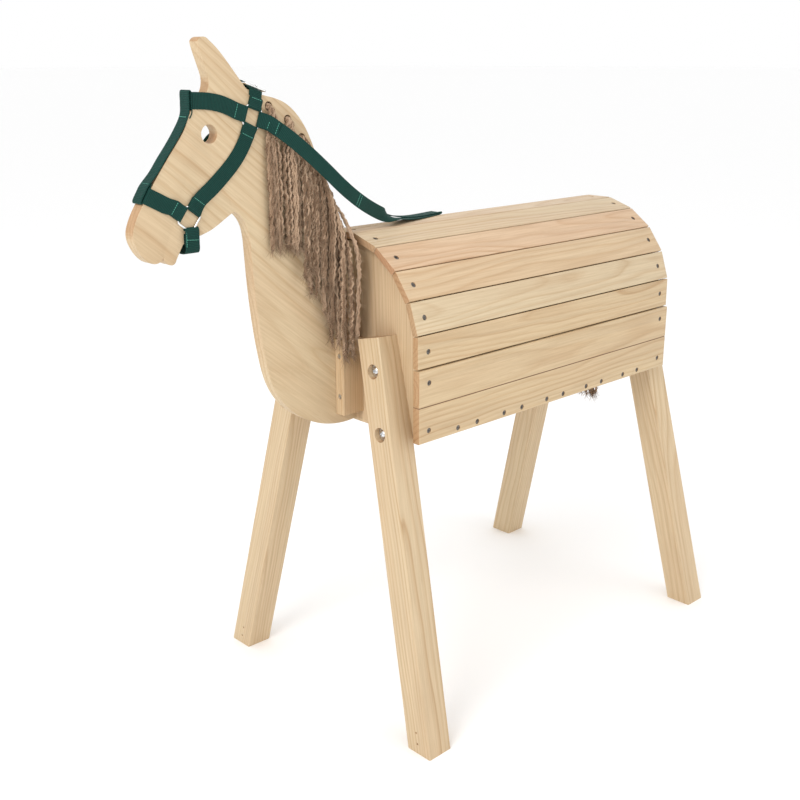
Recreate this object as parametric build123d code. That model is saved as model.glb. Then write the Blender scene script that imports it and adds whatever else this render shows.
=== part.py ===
"""Free-standing wooden play horse: a barrel body of planks between two end panels, four splayed legs, a
flat head-and-neck board with a rope mane and tail, and a webbing halter with a rein.

Units are millimetres. +X points forward to the head, +Y to the horse's left, +Z up. While the pieces are
made, x = 0 is the front ends of the planks; save() moves everything so that x = 0 is the middle of the
whole horse. z = 0 is the ground and y = 0 the middle of the horse.
"""

import os
from math import atan, cos, hypot, pi, radians, sin, tan

from build123d import *

# ---- driving dimensions ----
BODY_LENGTH = 616.0  # plank ends, front to rear
BARREL_HEIGHT = 585.0  # barrel axis above the ground
BARREL_RADIUS = 157.2  # axis to the middle of a plank's outer face
PLANK_THICK = 9.6
PLANK_ANGLE = 17.83  # from one plank to the next around the barrel
PLANK_GAP = 1.7
PLANKS_PER_SIDE = 5
SIDE_BOARD_FACE = 160.4  # barrel axis to the outer face of a lower side board
SIDE_BOARD_THICK = 12.0
SIDE_BOARD_TOP = 561.6
BODY_BOTTOM = 453.6  # lower edges of the side boards and the end panels
PANEL_THICK = 18.0
PANEL_INSET = 12.8  # planks overhang the end panels by this much
SLAT_COUNT = 5
SLAT_PITCH = 103.0
SLAT_WIDTH = 72.0
SLAT_THICK = 15.0
LEG_SIDE = 45.0  # legs are square
LEG_SPLAY = 0.241  # sideways slope, outwards to the foot
LEG_RAKE = 0.059  # fore and aft slope, away from the body to the foot
FOOT_REACH = 246.2  # middle of the horse to the outer edge of a foot
LEG_TOP = 598.9  # middle of a leg's sawn top
BOARD_THICK = 18.0  # the head-and-neck board
EYE = (226.9, 889.3)  # x, z of the eye hole
EYE_RADIUS = 12.0
MANE_HOLES = [(132, 921), (101, 903), (78, 878), (60, 848), (46, 817), (33, 786), (20, 756)]
MANE_HOLE_RADIUS = 6.0
LOCK_ENDS = [726, 716, 692, 672, 634, 594, 592]  # lowest z of each mane lock's solid
WEB_THICK = 1.8  # webbing
RING_SIDE = 28.0  # square halter rings
WIRE = 3.0  # ring and buckle wire
REIN_TUBE = 3.2  # radius of a round cord with the rein webbing's own cross section
CLEAR = 0.3  # between loose pieces
FACE_GAP = 0.05  # between pieces bolted face to face

REAR_FOOT = -BODY_LENGTH + PANEL_INSET - LEG_SIDE / cos(atan(LEG_RAKE)) - LEG_RAKE * BODY_BOTTOM
MUZZLE = 345.9
MIDDLE = (REAR_FOOT + MUZZLE) / 2  # x of the whole horse's middle, from the plank ends
HALF_BOARD = BOARD_THICK / 2
PANEL_FACE = -PANEL_INSET
BODY_MIDDLE = -BODY_LENGTH / 2

os.makedirs("parts", exist_ok=True)


def save(node, *solids):
    """Write the solids of one node, moved to the horse's own origin."""
    moved = [Pos(-MIDDLE, 0, 0) * solid for solid in solids]
    shape = moved[0] if len(moved) == 1 else Compound(children=moved)
    export_step(shape, f"parts/{node}.step")


def mirrored_y(solid):
    return mirror(solid, Plane.XZ)


def mirrored_x(solid):
    """The same solid at the other end of the body."""
    return mirror(solid, Plane.YZ.offset(BODY_MIDDLE))


def box(low, high):
    """A box from its lowest to its highest corner."""
    size = [b - a for a, b in zip(low, high)]
    middle = [(a + b) / 2 for a, b in zip(low, high)]
    return Pos(*middle) * Box(*size)


def rod(start, direction, radius, length):
    """A round bar from start along direction."""
    return Solid.make_cylinder(radius, length, Plane(origin=start, z_dir=direction))


def side_slab(points, low_y, high_y):
    """An outline given as x, z points, closed by straight lines, between two y values."""
    face = Plane.XZ * make_face(Polyline(*points, close=True))
    return Pos(0, high_y, 0) * extrude(face, amount=high_y - low_y)


# ---- barrel ----
def barrel_place(angle):
    """The plane of a plank's outer face, angle degrees round the barrel from the top to the left."""
    out = (0, sin(radians(angle)), cos(radians(angle)))
    centre = (BODY_MIDDLE, BARREL_RADIUS * out[1], BARREL_HEIGHT + BARREL_RADIUS * out[2])
    return Plane(origin=centre, x_dir=(1, 0, 0), z_dir=out)


def plank_screw_places(angle):
    """Where the two screws of a plank sit on its outer face, with the inward direction."""
    plane = barrel_place(angle)
    reach = BODY_LENGTH / 2 - SCREW_INSET
    return [(plane * Pos(x, 0, 0)).position for x in (-reach, reach)], -plane.z_dir


SCREW_INSET = 21.0
SCREW_HEAD = 4.0
SCREW_SHANK = 1.9
SCREW_LENGTH = 34.0
SCREW_SUNK = 0.9  # heads sit this far below the wood
HOLE_SLACK = 0.1


def wood_screw(place, inward, length=SCREW_LENGTH):
    """A countersunk screw whose head is sunk below the face at place."""
    cone = Cone(SCREW_SHANK, SCREW_HEAD, 2.4)
    head = Pos(0, 0, 1.2) * cone + Pos(0, 0, 2.8) * Cylinder(SCREW_HEAD, 0.8)
    recess = Pos(0, 0, 3.0) * (Box(3.4, 0.8, 1.2) + Box(0.8, 3.4, 1.2))
    shank = Pos(0, 0, -(length - 3.2) / 2) * Cylinder(SCREW_SHANK, length - 3.2)
    screw = head + shank - recess
    seat = Plane(origin=Vector(place) + Vector(inward) * (SCREW_SUNK + 3.2), z_dir=-Vector(inward))
    return seat.location * screw


def screw_hole(place, inward, length=SCREW_LENGTH):
    """The countersunk hole that wood_screw sits in."""
    r = HOLE_SLACK
    deep = length + SCREW_SUNK + 1
    hole = Pos(0, 0, 3.2 - deep / 2) * Cylinder(SCREW_SHANK + r, deep)
    sink = Pos(0, 0, 1.2) * Cone(SCREW_SHANK + r, SCREW_HEAD + r, 2.4)
    mouth = Pos(0, 0, 5.4) * Cylinder(SCREW_HEAD + r, 6.0)
    seat = Plane(origin=Vector(place) + Vector(inward) * (SCREW_SUNK + 3.2), z_dir=-Vector(inward))
    return seat.location * (hole + sink + mouth)


def plank(angle):
    """One plank of the barrel, its sides bevelled towards the axis."""
    half = radians(PLANK_ANGLE / 2)
    outer = BARREL_RADIUS * tan(half) - PLANK_GAP / 2
    inner = (BARREL_RADIUS - PLANK_THICK) * tan(half) - PLANK_GAP / 2
    points = [(-outer, 0), (outer, 0), (inner, -PLANK_THICK), (-inner, -PLANK_THICK)]
    face = Plane.YZ * make_face(Polyline(*points, close=True))
    bar = Pos(-BODY_LENGTH / 2, 0, 0) * extrude(face, amount=BODY_LENGTH)
    long_edges = bar.edges().filter_by(Axis.X).sort_by(Axis.Z)[-2:]
    bar = fillet(long_edges, 1.2)
    bar = barrel_place(angle).location * bar
    places, inward = plank_screw_places(angle)
    for place in places:
        bar -= screw_hole(place, inward)
    return bar


def side_board_screws():
    """Screws of the left side board: two at each end and two into each floor slat."""
    ends = [(x, z) for x in (-20.0, 20.0 - BODY_LENGTH) for z in (471.3, 542.4)]
    slats = [(x + dx, BODY_BOTTOM + SLAT_THICK / 2) for x in slat_middles() for dx in (-20.9, 20.9)]
    return ends, slats


def slat_middles():
    first = BODY_MIDDLE - SLAT_PITCH * (SLAT_COUNT - 1) / 2
    return [first + SLAT_PITCH * i for i in range(SLAT_COUNT)]


def side_board():
    """The left lower side board, a wide board with a shallow V groove along its middle."""
    inner = SIDE_BOARD_FACE - SIDE_BOARD_THICK
    board = box((-BODY_LENGTH, inner, BODY_BOTTOM), (0, SIDE_BOARD_FACE, SIDE_BOARD_TOP))
    board = fillet(board.edges().filter_by(Axis.X).sort_by(Axis.Y)[-2:], 1.2)
    groove_z = (BODY_BOTTOM + SIDE_BOARD_TOP) / 2
    groove = Pos(BODY_MIDDLE, SIDE_BOARD_FACE, groove_z) * Rot(45, 0, 0) * Box(BODY_LENGTH + 2, 1.6, 1.6)
    board -= groove
    ends, slats = side_board_screws()
    for x, z in ends + slats:
        board -= screw_hole((x, SIDE_BOARD_FACE, z), (0, -1, 0))
    return board


def floor_slat(x):
    """One cross slat between the lower edges of the side boards."""
    half = SIDE_BOARD_FACE - SIDE_BOARD_THICK - CLEAR / 3
    slat = box((x - SLAT_WIDTH / 2, -half, BODY_BOTTOM), (x + SLAT_WIDTH / 2, half, BODY_BOTTOM + SLAT_THICK))
    slat = fillet(slat.edges().filter_by(Axis.Y).sort_by(Axis.Z)[:2], 1.5)
    for dx in (-20.9, 20.9):
        for side in (-1, 1):
            place = (x + dx, side * SIDE_BOARD_FACE, BODY_BOTTOM + SLAT_THICK / 2)
            slat -= screw_hole(place, (0, -side, 0))
    return slat


def end_panel():
    """The front end panel: an arch that the planks rest on, with holes for the leg bolts."""
    radius = BARREL_RADIUS - PLANK_THICK - CLEAR / 3
    drop = BARREL_HEIGHT - BODY_BOTTOM
    outline = Circle(radius) + Pos(0, -drop / 2) * Rectangle(2 * radius, drop)
    face = Plane.YZ * (Pos(0, BARREL_HEIGHT) * outline)
    face -= Plane.YZ * (Pos(0, BODY_BOTTOM - drop / 2) * Rectangle(4 * radius, drop))
    panel = Pos(PANEL_FACE - PANEL_THICK, 0, 0) * extrude(face, amount=PANEL_THICK)
    for side in (-1, 1):
        for y, z in LEG_BOLTS:
            panel -= rod((PANEL_FACE + 1, side * y, z), (-1, 0, 0), BOLT_RADIUS + 0.25, PANEL_THICK + 2)
    return panel


def all_plank_angles():
    return [PLANK_ANGLE * i for i in range(-PLANKS_PER_SIDE, PLANKS_PER_SIDE + 1)]


def drilled_panel():
    """The front end panel with the pilot holes of every screw that ends in it."""
    panel = end_panel()
    for angle in all_plank_angles():
        places, inward = plank_screw_places(angle)
        panel -= screw_hole(places[1], inward)
    for side in (-1, 1):
        for x, z in side_board_screws()[0]:
            if x > BODY_MIDDLE:
                panel -= screw_hole((x, side * SIDE_BOARD_FACE, z), (0, -side, 0))
    return panel


# ---- legs ----
LEG_BOLTS = [(92.3, 553.8), (112.2, 464.3)]  # y, z of the bolts of a left leg
BOLT_RADIUS = 4.0
BORE_RADIUS = 10.8  # counterbore for a bolt head and washer
BORE_DEPTH = 9.0
FOOT_HOLES = (15.0, 31.6)  # heights of the two small holes near each foot
SPLAY = atan(LEG_SPLAY)
RAKE = atan(LEG_RAKE)


def leg_front(z):
    """x of a front leg's front face at height z."""
    return PANEL_FACE + LEG_SIDE / cos(RAKE) - LEG_RAKE * (z - BODY_BOTTOM)


def leg_middle(z):
    """y of a left leg's centreline at height z."""
    return FOOT_REACH - LEG_SPLAY * z - LEG_SIDE / (2 * cos(SPLAY))


def front_left_leg():
    """A square leg sawn flat at the ground, cut flat where it bears on the end panel."""
    long = 700.0
    bar = fillet(Box(LEG_SIDE, LEG_SIDE, long).edges().filter_by(Axis.Z), 2.0)
    top = Vector(leg_front(LEG_TOP) - LEG_SIDE / (2 * cos(RAKE)), leg_middle(LEG_TOP), LEG_TOP)
    down = Vector(LEG_RAKE, LEG_SPLAY, -1).normalized()
    across = Vector(0, 1, 0) - down * down.Y
    plane = Plane(origin=top + down * (long / 2), x_dir=across.normalized(), z_dir=-down)
    leg = plane.location * bar
    leg &= box((PANEL_FACE + FACE_GAP, 0, 0), (200, 400, 800))
    for y, z in LEG_BOLTS:
        leg -= rod((leg_front(z) + 20, y, z), (-1, 0, 0), BOLT_RADIUS + 0.25, 100)
        leg -= rod((leg_front(z) + 20, y, z), (-1, 0, 0), BORE_RADIUS, 20 + BORE_DEPTH)
    for z in FOOT_HOLES:
        leg -= rod((leg_front(z) + 5, leg_middle(z), z), (-1, 0, 0), 1.6, 17)
    return leg


def leg_bolt(y, z):
    """A hexagon socket button-head bolt through a leg and the end panel."""
    seat = leg_front(z) - BORE_DEPTH + WASHER
    dome = Pos(0, 0, HEAD_HEIGHT - HEAD_DOME) * Sphere(HEAD_DOME)
    head = dome & Pos(0, 0, HEAD_HEIGHT / 2) * Box(20, 20, HEAD_HEIGHT)
    head -= Pos(0, 0, 1.6) * extrude(RegularPolygon(SOCKET_RADIUS, 6), amount=HEAD_HEIGHT)
    long = seat - (PANEL_FACE - PANEL_THICK) + 13
    shank = Pos(0, 0, -long / 2) * Cylinder(BOLT_RADIUS, long)
    return Plane(origin=(seat, y, z), z_dir=(1, 0, 0)).location * (head + shank)


WASHER = 1.6
NUT_THICK = 6.5
HEAD_HEIGHT = 4.4
HEAD_DOME = 7.8
SOCKET_RADIUS = 2.9


def washer(x, y, z):
    plate = Cylinder(9.5, WASHER) - Cylinder(BOLT_RADIUS + 0.25, WASHER)
    return Plane(origin=(x + WASHER / 2, y, z), z_dir=(1, 0, 0)).location * plate


def nut(y, z):
    hexagon = extrude(RegularPolygon(6.5, 6, major_radius=False), amount=NUT_THICK)
    hexagon -= Cylinder(BOLT_RADIUS + 0.05, 3 * NUT_THICK)
    back = PANEL_FACE - PANEL_THICK - WASHER - 0.05
    return Plane(origin=(back, y, z), z_dir=(-1, 0, 0)).location * hexagon


# ---- head and neck ----
def board_outline():
    """The head-and-neck board's outline in x, z, from the bottom of the chest round to the rear edge."""
    seat = PANEL_FACE + FACE_GAP
    step_top = BARREL_HEIGHT + BARREL_RADIUS + 4  # the board steps forward past the ends of the planks
    step_bottom = BARREL_HEIGHT + BARREL_RADIUS - PLANK_THICK - 3.5
    chest_and_throat = Spline(
        (seat, 456.5), (20, 455.5), (60, 464.5), (95, 483), (120, 505), (140, 536), (151.5, 575),
        (160, 625), (166, 680), (169.5, 735), (176, 771), (193.5, 789),
    )
    jaw = Spline((193.5, 789), (210, 780), (230, 769), (250, 762.5), (275, 754.5))
    chin = Line((275, 754.5), (286, 736))
    lip = Spline((286, 736), (292, 730), (299, 732), (305, 741))
    muzzle_to_brow = Spline(
        (305, 741), (312, 735), (322, 735.5), (333, 743.5), (342, 757), (345.8, 772), (342.5, 785.5),
        (328.5, 810), (304, 844.5), (278, 877), (262, 899), (250, 921.5), (240, 930.6),
        (228.5, 939),
    )
    ear_front = Spline((228.5, 939), (224.5, 948), (224, 958), (227.5, 970), (233, 985), (237.5, 1001))
    ear_tip = ThreePointArc((237.5, 1001), (230, 1006.5), (221, 1003))
    ear_back = Spline((221, 1003), (209, 993), (194, 976.5), (178, 957), (167, 944))
    crest = Spline(
        (167, 944), (150, 937.5), (128, 932.5), (104, 924), (85, 909), (70, 889.5), (56, 861),
        (40, 827), (24, 792), (8.5, 753.5), (3.5, step_top),
    )
    rear = Polyline((3.5, step_top), (1, step_top), (1, step_bottom), (seat, step_bottom), (seat, 456.5))
    return [
        chest_and_throat, jaw, chin, lip, muzzle_to_brow, ear_front, ear_tip, ear_back, crest, rear,
    ]


def neck_board():
    """The head-and-neck board with its eye and mane holes."""
    face = make_face([edge for run in board_outline() for edge in run.edges()])
    board = Pos(0, HALF_BOARD, 0) * extrude(Plane.XZ * face, amount=BOARD_THICK)
    board -= rod((EYE[0], -20, EYE[1]), (0, 1, 0), EYE_RADIUS, 40)
    for x, z in MANE_HOLES:
        board -= rod((x, -20, z), (0, 1, 0), MANE_HOLE_RADIUS, 40)
    return board


CLEAT_LOW, CLEAT_HIGH = 472.0, 587.0
CLEAT_FRONT = 26.0
CLEAT_OUT = 27.7
CLEAT_SCREWS = (500.0, 562.0)


def cleat_screw_places():
    """Screws from the front of a cleat into the end panel."""
    y = (HALF_BOARD + CLEAT_OUT) / 2
    return [(CLEAT_FRONT, y, z) for z in CLEAT_SCREWS]


def left_cleat():
    """The square batten that holds the neck board's rear edge to the front panel."""
    bar = box((PANEL_FACE + FACE_GAP, HALF_BOARD + 0.05, CLEAT_LOW), (CLEAT_FRONT, CLEAT_OUT, CLEAT_HIGH))
    bar = fillet(bar.edges().filter_by(Axis.Z).sort_by(Axis.X)[-2:], 1.2)
    for place in cleat_screw_places():
        bar -= screw_hole(place, (-1, 0, 0), CLEAT_SCREW_LENGTH)
    return bar


CLEAT_SCREW_LENGTH = 52.0


# ---- halter ----
def beside(points, distance):
    """The line through points, moved sideways to its left by distance."""
    moved = []
    for i, (x, z) in enumerate(points):
        before, after = points[max(i - 1, 0)], points[min(i + 1, len(points) - 1)]
        dx, dz = after[0] - before[0], after[1] - before[1]
        long = hypot(dx, dz)
        moved.append((x - dz / long * distance, z + dx / long * distance))
    return moved


def wrap(line, half):
    """Webbing laid along a stretch of the board's edge, given downwards along the face."""
    inner, outer = beside(line, EDGE_GAP), beside(line, EDGE_GAP + WEB_THICK)
    return side_slab([*inner, *reversed(outer)], -half, half)


def band(points, line):
    """Webbing round the head: a strap on each side joined over the board's front edge along line."""
    side = HALF_BOARD + CLEAR
    inner, outer = beside(line, EDGE_GAP), beside(line, EDGE_GAP + WEB_THICK)
    left = side_slab([*points, *outer], side, side + WEB_THICK)
    return left + mirrored_y(left) + wrap(line, side + WEB_THICK / 2)


def flat_strap(points):
    """A strap that lies flat on the left side of the board."""
    low = HALF_BOARD + CLEAR
    return side_slab(points, low, low + WEB_THICK)


def ring(x, z, turn):
    """A square wire ring flat against the left side of the board."""
    half = RING_SIDE / 2 - WIRE / 2
    path = FilletPolyline((-half, -half), (half, -half), (half, half), (-half, half), radius=3.5, close=True)
    start = path.edges()[0]
    section = Plane(origin=start @ 0, z_dir=start % 0) * Circle(WIRE / 2)
    wire = sweep(section, path=path)
    middle = HALF_BOARD + CLEAR + WIRE / 2
    return Pos(x, middle, z) * Rot(90, 0, 0) * Rot(0, 0, turn) * wire


UPPER_RING = (160.6, 908.2)
LOWER_RING = (265.0, 785.5)
UPPER_TURN = 19.0
LOWER_TURN = 37.0

EDGE_GAP = 1.2  # webbing stands off the board's curved front edge
BROWBAND = [
    (250, 919.5), (233, 919.5), (211, 917), (193, 909), (187.5, 906), (179.5, 926.5), (189, 930),
    (209, 936), (226, 938.5),
]
BROW_EDGE = [(229, 938.6), (240, 930.8), (250, 921.5)]
NOSEBAND = [
    (328, 809), (318, 803), (300, 794.5), (285.5, 789), (275.5, 808), (291, 815.5), (316, 828.5),
]
NOSE_EDGE = [(317, 828.5), (328.5, 810)]
CHEEK_STRAP = [
    (181, 894), (187, 877), (197, 863), (217, 843), (243, 823), (261, 808.5),
    (246.5, 791), (233, 804), (213, 821), (193, 841), (173, 861), (163, 873), (157, 886),
]
FACE_EDGE = [(253.5, 915.5), (262, 899), (278, 877), (291, 860.6), (304, 844.5), (313.5, 832.5)]


def chin_strap():
    """A strap from ring to ring that hangs under the jaw."""
    out = HALF_BOARD + CLEAR + WEB_THICK
    outline = [(251.5, 764), (252.5, 742), (273, 738), (273.5, 764)]
    strap = side_slab(outline, -out, out)
    hollow = [(240, 790), (240, 744.6 + WEB_THICK), (290, 734.8 + WEB_THICK), (290, 790)]
    return strap - side_slab(hollow, -HALF_BOARD - CLEAR, HALF_BOARD + CLEAR)


def face_strap():
    """The strap down the front of the face, from the browband to the noseband."""
    return wrap(FACE_EDGE, 10)


# The crown strap and its buckle share a frame on top of the poll: u forward, v left, w out of the poll.
CROWN = Plane(origin=(156.0, 0, 940.2), x_dir=(cos(radians(19.0)), 0, sin(radians(19.0))), z_dir=(
    -sin(radians(19.0)), 0, cos(radians(19.0))))
HEEL_BAR = (-12.5, 5.6)  # v, w of the bar that the tongue turns on
FRONT_BAR = (12.5, 5.6)
BUCKLE_WIDTH = 34.0


def crown_strap():
    """The strap over the poll between the two upper rings."""
    out = HALF_BOARD + CLEAR + WEB_THICK
    top = 0.9 + WEB_THICK
    strap = Pos(0, 0, (top - 17.5) / 2) * Box(21, 2 * out, top + 17.5)
    strap -= Pos(0, 0, (0.9 - 40) / 2) * Box(40, 2 * (HALF_BOARD + CLEAR), 40.9)
    return CROWN.location * strap


def crown_buckle():
    """The wire frame of the crown buckle."""
    side = BUCKLE_WIDTH / 2 - WIRE / 2
    (low, w), (high, _) = HEEL_BAR, FRONT_BAR
    frame = Solid.make_cylinder(WIRE / 2, 2 * side, Plane(origin=(-side, low, w), z_dir=(1, 0, 0)))
    frame += Solid.make_cylinder(WIRE / 2, 2 * side, Plane(origin=(-side, high, w), z_dir=(1, 0, 0)))
    for u in (-side, side):
        frame += Solid.make_cylinder(WIRE / 2, high - low, Plane(origin=(u, low, w), z_dir=(0, 1, 0)))
        for v in (low, high):
            frame += Pos(u, v, w) * Sphere(WIRE / 2)
    return CROWN.location * frame


def buckle_tongue():
    """The tongue, with an eye that turns on the heel bar."""
    low, w = HEEL_BAR
    eye = Plane(origin=(-1.3, low, w), z_dir=(1, 0, 0)).location * (
        Pos(0, 0, 1.3) * (Cylinder(2.75, 2.6) - Cylinder(WIRE / 2 + 0.06, 2.6))
    )
    top = w + 2.75
    under = w + WIRE / 2 + 0.15
    arm = box((-1.3, low, under), (1.3, FRONT_BAR[0] + 2.4, top))
    arm = fillet(arm.edges().filter_by(Axis.Z).sort_by(Axis.Y)[-2:], 1.0)
    return CROWN.location * (eye + arm)


# The rein, from the left ring over the mane, down to the horse's back, and the same way to the right ring.
REIN_LEFT = [
    (141.0, 16.5, 901.5), (127.0, 31.0, 889.0), (101.0, 43.0, 865.5), (70.0, 47.0, 839.0),
    (38.0, 46.5, 812.0), (4.0, 41.0, 790.0), (-34.0, 28.5, 772.5), (-74.0, 13.0, 758.0),
    (-118.0, -2.0, 750.0), (-166.0, -14.0, 748.2), (-204.0, -26.0, 748.3),
]
REIN_FOLD = [(-226.0, -38.0, 748.4), (-226.0, -54.0, 748.6)]
REIN_RIGHT = [
    (-204.0, -60.0, 749.0), (-166.0, -59.0, 751.0), (-118.0, -55.0, 756.0), (-74.0, -50.0, 765.0),
    (-34.0, -48.0, 778.0), (4.0, -47.0, 794.0), (38.0, -47.5, 814.0), (70.0, -47.0, 840.0),
    (101.0, -43.0, 865.5), (127.0, -31.0, 889.0), (141.0, -16.5, 901.5),
]


def rein_radii(points):
    """One arc for each corner of the route, as large as its two runs allow."""
    radii = []
    for a, b, c in zip(points, points[1:], points[2:]):
        one, two = Vector(*b) - Vector(*a), Vector(*c) - Vector(*b)
        half_turn = radians(one.get_angle(two)) / 2
        radii.append(0.45 * min(one.length, two.length) / tan(half_turn))
    return radii


def rein():
    """The rein as a plain round tube along the webbing's middle."""
    points = REIN_LEFT + REIN_FOLD + REIN_RIGHT
    radii = rein_radii(points)
    path = FilletPolyline(*points, radius=radii)
    section = Plane(origin=path @ 0, z_dir=path % 0) * Circle(REIN_TUBE)
    tube = sweep(section, path=path)
    print(f"rein {path.length:.0f} mm, smallest arc {min(radii):.1f} mm,", end=" ")
    print(f"volume over section times length {tube.volume / (pi * REIN_TUBE**2 * path.length):.4f}")
    return tube


# ---- mane and tail ----
LOCK_ROOT_OUT = 12.6  # y of a lock's outside where it leaves its hole
LOCK_OUT = 36.0  # y of its outside at its fullest
FIRST_LOCK_FRONT = 143.0
LAST_LOCK_BACK = 9.0
TAIL_HOLE = (0.0, 640.0)
TAIL_LOW = 360.0
TAIL_X = -626.0
REAR_FACE = -BODY_LENGTH + PANEL_INSET


def lock_sides():
    """x of the sides of every lock, halfway between neighbouring holes."""
    xs = [x for x, _ in MANE_HOLES]
    between = [(a + b) / 2 for a, b in zip(xs, xs[1:])]
    return list(zip([FIRST_LOCK_FRONT, *between], [*between, LAST_LOCK_BACK]))


def mane_lock(index):
    """One lock of rope yarn: a core through its hole and a tuft hanging on each side of the board."""
    x, z = MANE_HOLES[index]
    front, back = lock_sides()[index]
    low = LOCK_ENDS[index]
    root = HALF_BOARD + CLEAR
    profile = [
        (root, z + 5), (LOCK_ROOT_OUT, z + 5), (LOCK_ROOT_OUT, z - 24), (22, z - 48), (LOCK_OUT, z - 90),
        (LOCK_OUT, low + 30), (24, low), (root + 3, low), (root, low + 12),
    ]
    face = Plane.YZ * make_face(Polyline(*profile, close=True))
    tuft = Pos(back + CLEAR / 2, 0, 0) * extrude(face, amount=front - back - CLEAR)
    core = rod((x, -root - 1, z), (0, 1, 0), MANE_HOLE_RADIUS - CLEAR, 2 * root + 2)
    return tuft + mirrored_y(tuft) + core


def tail():
    """The tail: a hanging tuft with a root through the rear panel and a knot inside."""
    y, z = TAIL_HOLE
    reach = TAIL_X + 10
    profile = [(0, z + 6), (7, z + 6), (11, z - 12), (15, z - 70), (16.5, z - 150), (13, TAIL_LOW + 12),
               (5, TAIL_LOW), (0, TAIL_LOW)]
    outline = Plane.XZ * make_face(Polyline(*profile, close=True))
    tuft = Pos(TAIL_X, y, 0) * revolve(outline, Axis.Z)
    root = rod((TAIL_X, y, z), (1, 0, 0), 6.0, REAR_FACE - TAIL_X + PANEL_THICK + 4)
    knot = Pos(REAR_FACE + PANEL_THICK + 9.5, y, z) * Sphere(9.0)
    return tuft + root + knot


# ---- every node ----
def save_barrel():
    save("top_plank", plank(0))
    for i in range(1, PLANKS_PER_SIDE + 1):
        save(f"left_plank_{i}", plank(PLANK_ANGLE * i))
        save(f"right_plank_{i}", plank(-PLANK_ANGLE * i))
    board = side_board()
    save("left_side_board", board)
    save("right_side_board", mirrored_y(board))
    for i, x in enumerate(reversed(slat_middles()), 1):
        save(f"floor_slat_{i}", floor_slat(x))
    panel = drilled_panel()
    rear = mirrored_x(panel)
    rear -= rod((REAR_FACE - 1, *TAIL_HOLE), (1, 0, 0), 7.0, PANEL_THICK + 2)
    drilled = panel
    for side in (-1, 1):
        for x, y, z in cleat_screw_places():
            drilled -= screw_hole((x, side * y, z), (-1, 0, 0), CLEAT_SCREW_LENGTH)
    save("front_end_panel", drilled)
    save("rear_end_panel", rear)


def save_fasteners():
    screws = []
    for angle in all_plank_angles():
        places, inward = plank_screw_places(angle)
        screws += [wood_screw(place, inward) for place in places]
    ends, slats = side_board_screws()
    for side in (-1, 1):
        screws += [wood_screw((x, side * SIDE_BOARD_FACE, z), (0, -side, 0)) for x, z in ends]
    save("plank_screws", *screws)
    places = [(x, side * SIDE_BOARD_FACE, z, side) for side in (-1, 1) for x, z in slats]
    save("floor_screws", *[wood_screw((x, y, z), (0, -side, 0)) for x, y, z, side in places])
    places = [(x, side * y, z) for side in (-1, 1) for x, y, z in cleat_screw_places()]
    save("cleat_screws", *[wood_screw(place, (-1, 0, 0), CLEAT_SCREW_LENGTH) for place in places])
    bolts = [leg_bolt(y, z) for y, z in LEG_BOLTS]
    washers = [washer(leg_front(z) - BORE_DEPTH, y, z) for y, z in LEG_BOLTS]
    washers += [washer(PANEL_FACE - PANEL_THICK - WASHER, y, z) for y, z in LEG_BOLTS]
    nuts = [nut(y, z) for y, z in LEG_BOLTS]
    for node, ones in (("leg_bolts", bolts), ("leg_washers", washers), ("leg_nuts", nuts)):
        pair = ones + [mirrored_y(one) for one in ones]
        save(node, *pair, *[mirrored_x(one) for one in pair])


def save_legs():
    leg = front_left_leg()
    save("front_left_leg", leg)
    save("front_right_leg", mirrored_y(leg))
    save("rear_left_leg", mirrored_x(leg))
    save("rear_right_leg", mirrored_x(mirrored_y(leg)))


def save_head():
    save("neck_board", neck_board())
    cleat = left_cleat()
    save("left_neck_cleat", cleat)
    save("right_neck_cleat", mirrored_y(cleat))


def save_halter():
    for name, piece in (
        ("upper_ring", ring(*UPPER_RING, UPPER_TURN)),
        ("lower_ring", ring(*LOWER_RING, LOWER_TURN)),
        ("cheek_strap", flat_strap(CHEEK_STRAP)),
    ):
        save(f"left_{name}", piece)
        save(f"right_{name}", mirrored_y(piece))
    save("browband", band(BROWBAND, BROW_EDGE))
    save("noseband", band(NOSEBAND, NOSE_EDGE))
    save("chin_strap", chin_strap())
    save("face_strap", face_strap())
    save("crown_strap", crown_strap())
    save("crown_buckle", crown_buckle())
    save("buckle_tongue", buckle_tongue())
    save("rein", rein())


def save_yarn():
    for index in range(len(MANE_HOLES)):
        save(f"mane_lock_{index + 1}", mane_lock(index))
    save("tail", tail())


save_barrel()
save_fasteners()
save_legs()
save_head()
save_halter()
save_yarn()
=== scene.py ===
"""The looks of a free-standing wooden play horse: pine boards, a yarn mane and tail, and a webbing halter."""

import random
from math import copysign, cos, hypot, pi, radians, sin, sqrt

import bpy
from mathutils import Matrix, Vector


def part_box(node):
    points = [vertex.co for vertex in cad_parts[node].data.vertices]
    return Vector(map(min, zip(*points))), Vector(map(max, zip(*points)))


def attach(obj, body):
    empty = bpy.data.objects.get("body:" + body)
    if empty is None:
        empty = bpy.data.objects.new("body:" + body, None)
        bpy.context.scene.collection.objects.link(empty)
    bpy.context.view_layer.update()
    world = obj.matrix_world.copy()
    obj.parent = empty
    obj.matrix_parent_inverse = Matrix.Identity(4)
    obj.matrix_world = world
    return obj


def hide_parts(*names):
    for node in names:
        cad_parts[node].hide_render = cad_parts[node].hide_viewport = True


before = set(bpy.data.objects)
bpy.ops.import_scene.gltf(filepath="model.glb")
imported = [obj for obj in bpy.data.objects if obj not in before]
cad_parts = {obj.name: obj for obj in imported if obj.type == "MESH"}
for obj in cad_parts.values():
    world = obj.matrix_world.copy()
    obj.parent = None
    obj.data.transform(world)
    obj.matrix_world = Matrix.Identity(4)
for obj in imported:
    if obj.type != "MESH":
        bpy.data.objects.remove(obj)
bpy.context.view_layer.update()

MM = 0.001
PLANK_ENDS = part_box("top_plank")[1].x  # x of the planks' front ends
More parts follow.
